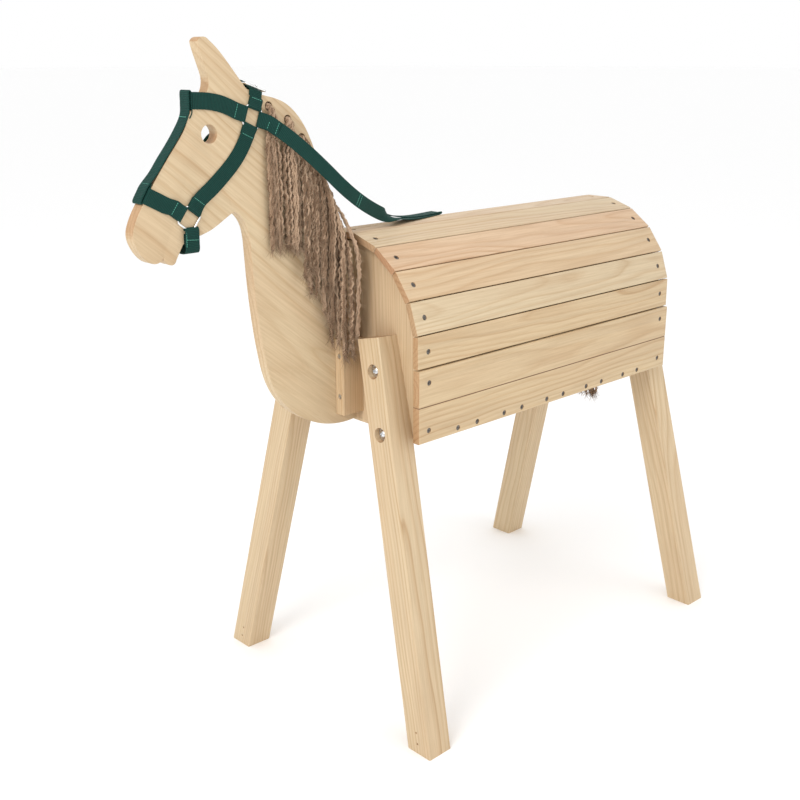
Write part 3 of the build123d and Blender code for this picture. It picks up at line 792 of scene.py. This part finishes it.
def make_face_strap():
    """Down the face, folded round the browband above and round the noseband below."""

    def on_nose(down, out):
        return NOSE + NOSE_EDGE * down * MM + NOSE_OUT * out * MM

    behind_browband = [at(254.9, 0, 909.5), at(251.3, 0, 916), at(251.2, 0, 928), at(251.0, 0, 940.6)]
    before_it = [at(252.7, 0, 943.2), at(254.6, 0, 941.0), at(255.0, 0, 928), at(256.4, 0, 914)]
    down = [at(264.4, 0, 899.2), at(280.3, 0, 877.6), at(293.2, 0, 862.0), at(306.2, 0, 845.4)]
    over_noseband = [on_nose(-11, 4.2), on_nose(0, 4.6), on_nose(9, 4.5), on_nose(12.2, 2.8)]
    under_it = [on_nose(9.5, 1.2), on_nose(0, 0.95), on_nose(-12, 1.0), on_nose(-17, 1.3)]
    points = behind_browband + before_it + down + over_noseband + under_it
    lay_strap("face_webbing", points, [Y] * len(points), "face_strap", width=20 * MM)
    half = Y * 8.5 * MM
    seam_places = [(at(259.2, 0, 911.4), Vector((0.85, 0, 0.5))), (on_nose(-14.5, 4.0), NOSE_OUT)]
    return [(place - half, place + half, normal) for place, normal in seam_places]


def make_chin_strap():
    """Hung through the lower rings and under the jaw."""
    corner = LOWER_WIRE - (LOW_FORWARD + LOW_UPWARD) * BAR_OUT + X * 0.5 * MM
    x, y_out, y_in = corner.x, corner.y + LOOP_RADIUS, corner.y - LOOP_RADIUS
    top, low = 774.2 * MM, 741.6 * MM
    left = [Vector((x, y, z)) for y, z in [
        (y_in + 0.3 * MM, top - 19 * MM), (y_in, top - 10 * MM), (y_in, top - 1.5 * MM),
        (corner.y, top + 0.9 * MM), (y_out, top - 1.5 * MM), (y_out, top - 10 * MM),
        (y_out - 0.5 * MM, top - 20 * MM), (y_out - 0.6 * MM, low + 6 * MM),
        (y_out - 2.8 * MM, low + 1.6 * MM), (5 * MM, low + 0.2 * MM), (0, low),
    ]]
    lay_round_head("chin_webbing", left, [X] * len(left), "chin_strap")
    half, face = (WEB_WIDTH - 3 * MM) / 2, y_out + WEB / 2
    across = Vector((x - half, face, top - 15.5 * MM)), Vector((x + half, face, top - 14 * MM))
    down = Vector((x + half, face, top - 4 * MM)), Vector((x + half, face - 0.3 * MM, low + 9 * MM))
    return both_sides(*across, Y) + both_sides(*down, Y)


def make_halter():
    stitches = make_browband() + make_noseband() + make_cheek_straps() + make_face_strap() + make_chin_strap()
    stitch_rows("halter_stitches", stitches, "horse")


def make_crown():
    """Two halves: the left one runs through the buckle, the right one is sewn round its heel bar."""
    poll = at(156.0, 0, 940.2)

    def spot(u, v, w):
        """A point forward of the poll, left of it and up, with the upper ring's turn."""
        return poll + FORWARD * u * MM + Y * v * MM + UPWARD * w * MM

    def lay_half(name, points, slot):
        wide = [FORWARD] * len(points)
        lay_strap(name, points, wide, "crown_strap", width=20 * MM, columns=7, slot_rows=slot)

    bar = UPPER_WIRE + UPWARD * BAR_OUT
    start = looped_start(bar, UPWARD, 12 * MM)
    rise = [spot(-4.5, FLAT + 0.3, -6), spot(-3.0, FLAT + 0.6, -1.4), spot(-2.0, FLAT + 1.2, 2.2)]
    in_buckle = [spot(-1.6, 7.2, 3.2), spot(-1.2, 2.0, 6.2), spot(-1.0, -5, 9.6), spot(-0.8, -12.5, 11.2)]
    beyond = [spot(-0.8, -17.5, 9.6), spot(-1.2, -20.5, 4.0), spot(-1.8, -20.6, -6)]
    left = start + rise + in_buckle + beyond
    counts = strap_counts(left)
    ahead = len(start) + len(rise)
    slot = (sum(counts[:ahead - 1]), sum(counts[:ahead + 3]))
    lay_half("crown_webbing", left, slot)

    heel = spot(-0.8, -12.5, 5.6)
    loose = 3.6 * MM
    rise = [spot(-4.5, FLAT + 0.3, -6), spot(-3.0, FLAT + 1.0, -1.4), spot(-2.0, FLAT + 2.8, 5.2)]
    over = arc(heel, UPWARD * loose, Y * loose, 10)
    right = flip(start + rise) + over + [spot(-1.2, -16.5, 1.6)]
    counts = strap_counts(right)
    ahead = len(start) + len(rise)
    slot = (sum(counts[:ahead]) - 1, sum(counts[:ahead + 9]))
    lay_half("crown_buckle_webbing", right, slot)
    stitch_rows("crown_stitches", seams(bar, UPWARD, 11.2 * MM, 16 * MM), "horse")


# ---- rein ----
REIN_WIDTH = 20 * MM
REIN_LEFT = [  # from the left upper ring to the fold on the horse's back
    (141, 16.5, 901.5), (127, 31, 889), (101, 43, 865.5), (70, 47, 839),
    (38, 46.5, 812), (4, 41, 790), (-34, 28.5, 772.5), (-74, 13, 758),
    (-118, -2, 747.4), (-166, -14, 744), (-204, -26, 743.4),
]
REIN_SEAM = REIN_LEFT[5]  # two rows of stitches lie here
REIN_FOLD = [(-228, -33, 743.3), (-229, -33.5, 745.6)]
REIN_RIGHT = [
    (-206, -30, 745.3), (-172, -22, 745.7), (-140, -19, 747), (-112, -27, 751.5),
    (-96, -42, 761), (-74.6, -48, 775.3), (-42, -48, 798.3), (-9, -48, 827.3), (28, -48, 854),
    (66, -48, 871), (101, -43, 881), (127, -31, 891), (141, -16.5, 901.5),
]


def spline_points(name, points, resolution):
    """Even points of the NURBS line that has the given points as its controls."""
    data = bpy.data.curves.new(name, "CURVE")
    data.dimensions = "3D"
    spline = data.splines.new("NURBS")
    spline.points.add(len(points) - 1)
    for control, place in zip(spline.points, points):
        control.co = (*at(*place), 1)
    spline.order_u = 3
    spline.use_endpoint_u = True
    spline.resolution_u = resolution
    curve = linked(name, data)
    mesh = bpy.data.meshes.new_from_object(curve)
    line = [v.co.copy() for v in mesh.vertices]
    bpy.data.objects.remove(curve)
    return line


def eased_step(value, low, high):
    t = min(1, max(0, (value - low) / (high - low)))
    return t * t * (3 - 2 * t)


def rein_widths(route):
    """The rein's width direction at each point: level where it lies on the planks, upright where it hangs."""
    lies_flat, hangs = at(-108, 0, 0).x, at(-52, 0, 0).x
    fold = min(range(len(route)), key=lambda i: route[i].x)
    across = []
    for i, place in enumerate(route):
        run = heading(route, i)
        side = 1 if i <= fold else -1
        hanging = run.cross(Y * side).normalized()
        if hanging.z < 0:
            hanging.negate()
        wide = (Y * -side).lerp(hanging, eased_step(place.x, lies_flat, hangs))
        across.append((wide - run * wide.dot(run)).normalized())
    for i in range(fold, len(route)):
        across[i] = across[i] if across[i].dot(across[i - 1]) > 0 else -across[i]
    return across


def rein_seam(route, across):
    """Two rows of stitches across the near half."""
    rows = []
    seam = min(range(len(route)), key=lambda i: (route[i] - at(*REIN_SEAM)).length)
    for row in (seam, seam + 2):
        face = heading(route, row).cross(across[row])
        face *= copysign(1, face.y)
        place = route[row] + face * WEB / 2
        half = across[row] * 8.5 * MM
        rows.append((place - half, place + half, face))
    return rows


def make_rein_loops(bar, route):
    """The rein's ends, each sewn round the rear bar of its ring: the loops and their rows of stitches."""
    near = [point for point in route if (point - route[0]).length < 30 * MM]
    away = (near[2] - bar).normalized()
    out = away.cross(UPWARD)
    out *= copysign(1, out.y)
    wide = -in_plane(away)

    def beside(reach, lift):
        """A point on the rein's own line, at a distance from its start and lifted off it."""
        return min(near, key=lambda p: abs((p - route[0]).length - reach * MM)) + out * lift * MM

    tail = [beside(reach, -1.5) for reach in (18, 10, 2)]
    top = [beside(2, 1.6), beside(10, 1.5), beside(18, 1.5)]
    points = tail + arc(bar, -out * LOOP_RADIUS, -away * LOOP_RADIUS, 8) + top
    spread = [wide] * 2 + [UPWARD] * (len(points) - 4) + [wide] * 2
    loops, rows = [], []
    for label, side in SIDES.items():
        name, line, wides = f"{label}_rein_loop", flip(points, side), flip(spread, side)
        loops.append(lay_strap(name, line, wides, None, "rein", width=REIN_WIDTH))
        for reach in (16.0, 4.0):
            place = beside(reach, 1.5) + out * WEB / 2
            rows.append(tuple(flip([place - wide * 8 * MM, place + wide * 8 * MM, out], side)))
    return loops, rows


def make_rein():
    route = spline_points("rein_route", REIN_LEFT + REIN_FOLD + REIN_RIGHT, 14)
    across = rein_widths(route)
    strap = ribbon("rein_webbing", route, across, "rein", width=REIN_WIDTH)
    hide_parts("rein")
    bar = UPPER_WIRE - FORWARD * BAR_OUT
    loops, rows = make_rein_loops(bar, route)
    thread = stitch_rows("rein_stitches", rows + rein_seam(route, across), "rein")


# ---- yarn ----
def yarn_material():
    """Twisted jute: the UV map's X goes round a strand and Y along it, and strand_tint differs by strand."""
    material = new_material("jute_yarn")
    tree = material.node_tree
    laid = node(tree, "UVMap", uv_map="UVMap").outputs[0]
    slant = (0, 0, radians(24))
    twist = node(tree, "Mapping", {"Vector": laid, "Rotation": slant, "Scale": (420, 3400, 1)})
    hairs = noise(tree, twist.outputs[0], 1.0, 3.0).outputs["Fac"]
    coordinate = node(tree, "TexCoord").outputs["Object"]
    patch = noise(tree, coordinate, 90.0, 2.0).outputs["Fac"]
    attribute = node(tree, "Attribute", attribute_name="strand_tint", attribute_type="GEOMETRY")
    tint = attribute.outputs["Fac"]
    light = weighted(tree, 0.0, (hairs, 0.75), (patch, 0.35), (tint, 0.55))
    browns = [(0.30, (0.070, 0.038, 0.020)), (0.70, (0.25, 0.150, 0.088)), (1.0, (0.52, 0.36, 0.24))]
    colour = ramp(tree, light, browns)
    to_shader(material, Base_Color=colour, Roughness=0.85, Sheen_Weight=0.4, Sheen_Roughness=0.5,
              Sheen_Tint=(1.0, 0.85, 0.65, 1), Specular_IOR_Level=0.25)
    bump(material, hairs, 0.0006, 0.8)
    return material


def strand_tube(lists, line, radius, sides, tint):
    """Adds a closed tube along line, drawn in at its end, to the lists."""
    verts, faces, uvs, tints = lists
    base = len(verts)
    count = len(line)
    travelled = 0.0
    normal = None
    for i, place in enumerate(line):
        run = heading(line, i)
        if normal is None:
            normal = run.orthogonal().normalized()
        normal = (normal - run * normal.dot(run)).normalized()
        other = run.cross(normal)
        if i:
            travelled += (place - line[i - 1]).length
        reach = radius * (0.35 if i == count - 1 else 1.0)
        for k in range(sides):
            angle = TURN * k / sides
            verts.append(place + (normal * cos(angle) + other * sin(angle)) * reach)
            uvs.append((k / sides * TURN * radius, travelled))
            tints.append(tint)
    for i in range(count - 1):
        for k in range(sides):
            a, b = base + i * sides + k, base + i * sides + (k + 1) % sides
            faces.append((a, b, b + sides, a + sides))
    faces.append(tuple(base + k for k in reversed(range(sides))))
    faces.append(tuple(base + (count - 1) * sides + k for k in range(sides)))


def yarn_piece(name, build, node_name, body):
    """One piece made of the strands that build adds."""
    verts, faces, uvs, tints = lists = [], [], [], []
    build(lists)
    mesh = bpy.data.meshes.new(name)
    mesh.from_pydata(verts, [], faces)
    layer = mesh.uv_layers.new(name="UVMap")
    for loop in mesh.loops:
        layer.data[loop.index].uv = uvs[loop.vertex_index]
    attribute = mesh.attributes.new("strand_tint", "FLOAT", "POINT")
    attribute.data.foreach_set("value", tints)
    mesh.polygons.foreach_set("use_smooth", [True] * len(mesh.polygons))
    mesh.materials.append(YARN)
    tuft = linked(name, mesh)
    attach(tuft, body)
    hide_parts(node_name)


def walker(controls, step):
    """The length of the smooth line through controls, and a function giving its point at a distance."""
    line = through(controls, step)
    gaps = [(b - a).length for a, b in zip(line, line[1:])]

    def point_at(distance):
        for i, gap in enumerate(gaps):
            if distance <= gap or i == len(gaps) - 1:
                return line[i].lerp(line[i + 1], min(1, distance / gap))
            distance -= gap

    return sum(gaps), point_at


def drawn_wave(chance, heights, periods):
    """A wave's height, period, phase and heading, the first two drawn from ranges in millimetres."""
    height, period = chance.uniform(*heights) * MM, chance.uniform(*periods) * MM
    return height, period, chance.uniform(0, 6.3), chance.uniform(0, 3.1)


def crimped(controls, wave, chance):
    """Points along a strand, with the wave that unlaid rope keeps, as drawn_wave gives it."""
    length, point_at = walker(controls, 4 * MM)
    height, period, phase, heading = wave
    phase += chance.gauss(0, 0.35)
    height *= chance.uniform(0.75, 1.25)
    slow = chance.uniform(0, TURN)
    aside = Vector((cos(heading), sin(heading), 0))
    other = Vector((-aside.y, aside.x, 0))
    count = round(length / STRAND_STEP)
    points = []
    for i in range(count + 1):
        s = length * i / count
        grown = min(1.0, s / (24 * MM))
        angle = TURN * s / period + phase + 0.9 * sin(TURN * s / (period * 3.3) + slow)
        drift = 1.2 * MM * grown * sin(TURN * s / (47 * MM) + slow)
        swing, curl = height * grown * sin(angle), 0.7 * height * grown * cos(angle)
        points.append(point_at(s) + aside * (swing + drift) + other * curl)
    return points


STRAND_STEP = 2.0 * MM  # between the rings of a strand's mesh
PLY_RADIUS = 0.9 * MM
PLY_TURN = 8 * MM  # the yarn's length for one turn of its two plies
HAIR_RADIUS = 0.17 * MM
END_HAIRS = 6
SIDE_HAIRS = 7
CLUMPS_A_SIDE = 6
STRANDS_A_CLUMP = 5
MANE_LOCKS = [  # hole x and z, lowest tip, yarn's middle from the hole, half its spread, how far out it hangs
    (132, 921, 725, 1, 11, 18), (101, 903, 712, 1, 14, 25), (78, 878, 684, 0, 14, 32),
    (60, 848, 654, -1, 16, 38), (46, 817, 614, -2, 18, 44), (33, 786, 580, -5, 19, 50),
    (20, 756, 552, -7, 18, 54),
]


def twisted_ply(line, start):
    """One ply's line as it winds round the yarn's, from a start in turns, and opens near the end."""
    last = len(line) - 1
    wound, travelled = [], 0.0
    for i, place in enumerate(line):
        if i:
            travelled += (place - line[i - 1]).length
        run = heading(line, i)
        side = run.cross(Y if abs(run.y) < 0.9 else X).normalized()
        other = run.cross(side)
        opened = 1 + 1.3 * eased_step(i / last, 0.86, 1.0)
        angle = TURN * (travelled / PLY_TURN + start)
        wound.append(place + (side * cos(angle) + other * sin(angle)) * PLY_RADIUS * 0.85 * opened)
    return wound


def loose_hair(line, root, chance):
    """A fibre that leaves the yarn at a point, and curls away from the board."""
    run = (line[root] - line[max(root - 2, 0)]).normalized()
    out = Vector((chance.uniform(-1, 1), chance.uniform(-1, 1), chance.uniform(-0.3, 0.3))).normalized()
    reach = chance.uniform(6, 15) * MM
    lean = 0.7 if root == len(line) - 1 else 0.9
    curl = Vector((chance.uniform(-1, 1), chance.uniform(-1, 1), 0)) * 2.2 * MM
    base = line[root] - run * 2 * MM
    parts = (0, 0.3, 0.6, 0.8, 1)
    hair = [base + (run * t + out * lean * t**1.5) * reach + curl * t * (1 - t) * 2 for t in parts]
    if out.y * line[root].y < 0:
        hair = [Vector((h.x, 2 * base.y - h.y, h.z)) for h in hair]
    return hair


def add_yarn(lists, line, chance):
    """Two-ply yarn round line, with loose fibres at its end and here and there along it."""
    tint = chance.random()
    last = len(line) - 1
    for start in (0, 0.5):
        strand_tube(lists, twisted_ply(line, start), PLY_RADIUS, 6, tint)
    roots = [last] * END_HAIRS + [chance.randrange(last // 3, last) for _ in range(SIDE_HAIRS)]
    for root in roots:
        strand_tube(lists, loose_hair(line, root, chance), HAIR_RADIUS, 3, tint)


def mane_clump(chance, lock):
    """Where one clump of a lock hangs and how its strands wave."""
    *_, low, middle, spread, out = lock
    x_end = middle + chance.uniform(-1, 1) * spread
    layer = chance.random()  # 0 against the board, 1 outermost
    y_end = 12.5 + (out - 12.5) * layer**0.7
    end = low + abs(chance.gauss(0, 0.55)) * 24
    wave = drawn_wave(chance, (0.7, 1.6), (10, 15))
    return x_end, layer, y_end, end, chance.uniform(-6, 3), wave


def mane_strand(chance, lock, clump, angle):
    """Control points of one strand: out of its hole, over the others and down."""
    x, z, *_ = lock
    x_end, layer, y_end, end, drift, _ = clump
    dx, dy = chance.gauss(0, 1.5), chance.gauss(0, 1.3)
    end += chance.uniform(0, 14)
    x_end, y_end = x_end + dx, max(12.0, y_end + dy)
    points = [
        (x + 2.6 * cos(angle), 3.0, z + 2.6 * sin(angle)),
        (x + 3.2 * cos(angle), 9.5, z - 0.5 + 3.2 * sin(angle)),
        (x + x_end * 0.3, 12.5 + 4.5 * layer, z - 5 + 3 * layer),
        (x + x_end * 0.7, 12 + (y_end - 12) * 0.5, z - 26),
        (x + x_end, y_end, z - 70),
        (x + x_end + drift * 0.4, y_end + 0.5, (z - 70 + end) / 2),
        (x + x_end + drift, max(12.0, y_end - 2), end),
    ]
    return [Vector(p) * MM for p in points]


PANEL_CLEAR = 2.6 * MM  # the mane keeps this far in front of the end panel and the planks


def clear_of_body(place):
    """Moves a mane point forward where the planks' ends or the end panel are."""
    arch = hypot(place.y, place.z - BARREL_MIDDLE) > BARREL_RADIUS - 12 * MM
    beside_planks = arch and place.z < BARREL_MIDDLE + BARREL_RADIUS + 3 * MM
    limit = PANEL_CLEAR + (0 if beside_planks else PANEL_X - PLANK_ENDS)
    return Vector((max(place.x, limit), max(place.y, 0.0), place.z))


def make_mane():
    for number, lock in enumerate(MANE_LOCKS, 1):
        chance = random.Random(SEED + number)

        def build(lists):
            for side in SIDES.values():
                for clump_number in range(CLUMPS_A_SIDE):
                    clump = mane_clump(chance, lock)
                    for k in range(STRANDS_A_CLUMP):
                        angle = TURN * (clump_number + k / STRANDS_A_CLUMP) / CLUMPS_A_SIDE
                        waved = crimped(mane_strand(chance, lock, clump, angle), clump[-1], chance)
                        kept = [clear_of_body(p) for p in waved]
                        add_yarn(lists, [Vector((PLANK_ENDS + p.x, p.y * side, p.z)) for p in kept], chance)

        yarn_piece(f"mane_yarn_{number}", build, f"mane_lock_{number}", "horse")


TAIL_STRANDS = 46
TAIL_HOLE = Vector((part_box("rear_end_panel")[0].x, 0, 640 * MM))  # on the panel's outer face
TAIL_TIP = 363 * MM  # height of the lowest strands' ends
TAIL_RADIUS = 13.5 * MM
IN_HOLE = 9  # points of a strand before it is clear of the hole


def tail_strand(chance):
    """Control points of one strand: out of the hole and down."""
    angle, out = chance.uniform(0, TURN), sqrt(chance.random())
    dx, dy = TAIL_RADIUS * out * cos(angle), TAIL_RADIUS * out * sin(angle)
    hole = TAIL_HOLE + Vector((0, sin(angle), cos(angle))) * 3.4 * MM * out
    axis = TAIL_HOLE - X * 9.5 * MM
    return [
        hole + X * 6 * MM, hole - X * 1.5 * MM,
        axis + Vector((dx * 0.3 - 1 * MM, dy * 0.5, -4 * MM)),
        axis + Vector((dx * 0.6 - 4 * MM, dy * 0.8, -28 * MM)),
        axis + Vector((dx * 0.8 - 6 * MM, dy, -110 * MM)),
        axis + Vector((dx * 0.8 - 6 * MM, dy * 1.15, -190 * MM)),
        Vector((axis.x + dx * 0.7 - 5 * MM, dy * 1.25, TAIL_TIP + abs(chance.gauss(0, 0.013)))),
    ]


def make_tail():
    chance = random.Random(SEED + 50)
    wall = TAIL_HOLE.x - 2.2 * MM

    def build(lists):
        for _ in range(TAIL_STRANDS):
            controls = tail_strand(chance)
            waved = crimped(controls, drawn_wave(chance, (0.9, 1.9), (11, 15)), chance)
            kept = [p if i < IN_HOLE else Vector((min(p.x, wall), p.y, p.z)) for i, p in enumerate(waved)]
            add_yarn(lists, kept, chance)

    yarn_piece("tail_yarn", build, "tail", "tail")


make_camera()
make_studio()
PINE, METAL, WEAVE = pine_group(), metal_group(), weave_group()
WEBBING, THREAD, YARN = webbing_material(), thread_material(), yarn_material()
make_wood()
make_metal()
make_rein()
make_halter()
make_crown()
make_mane()
make_tail()
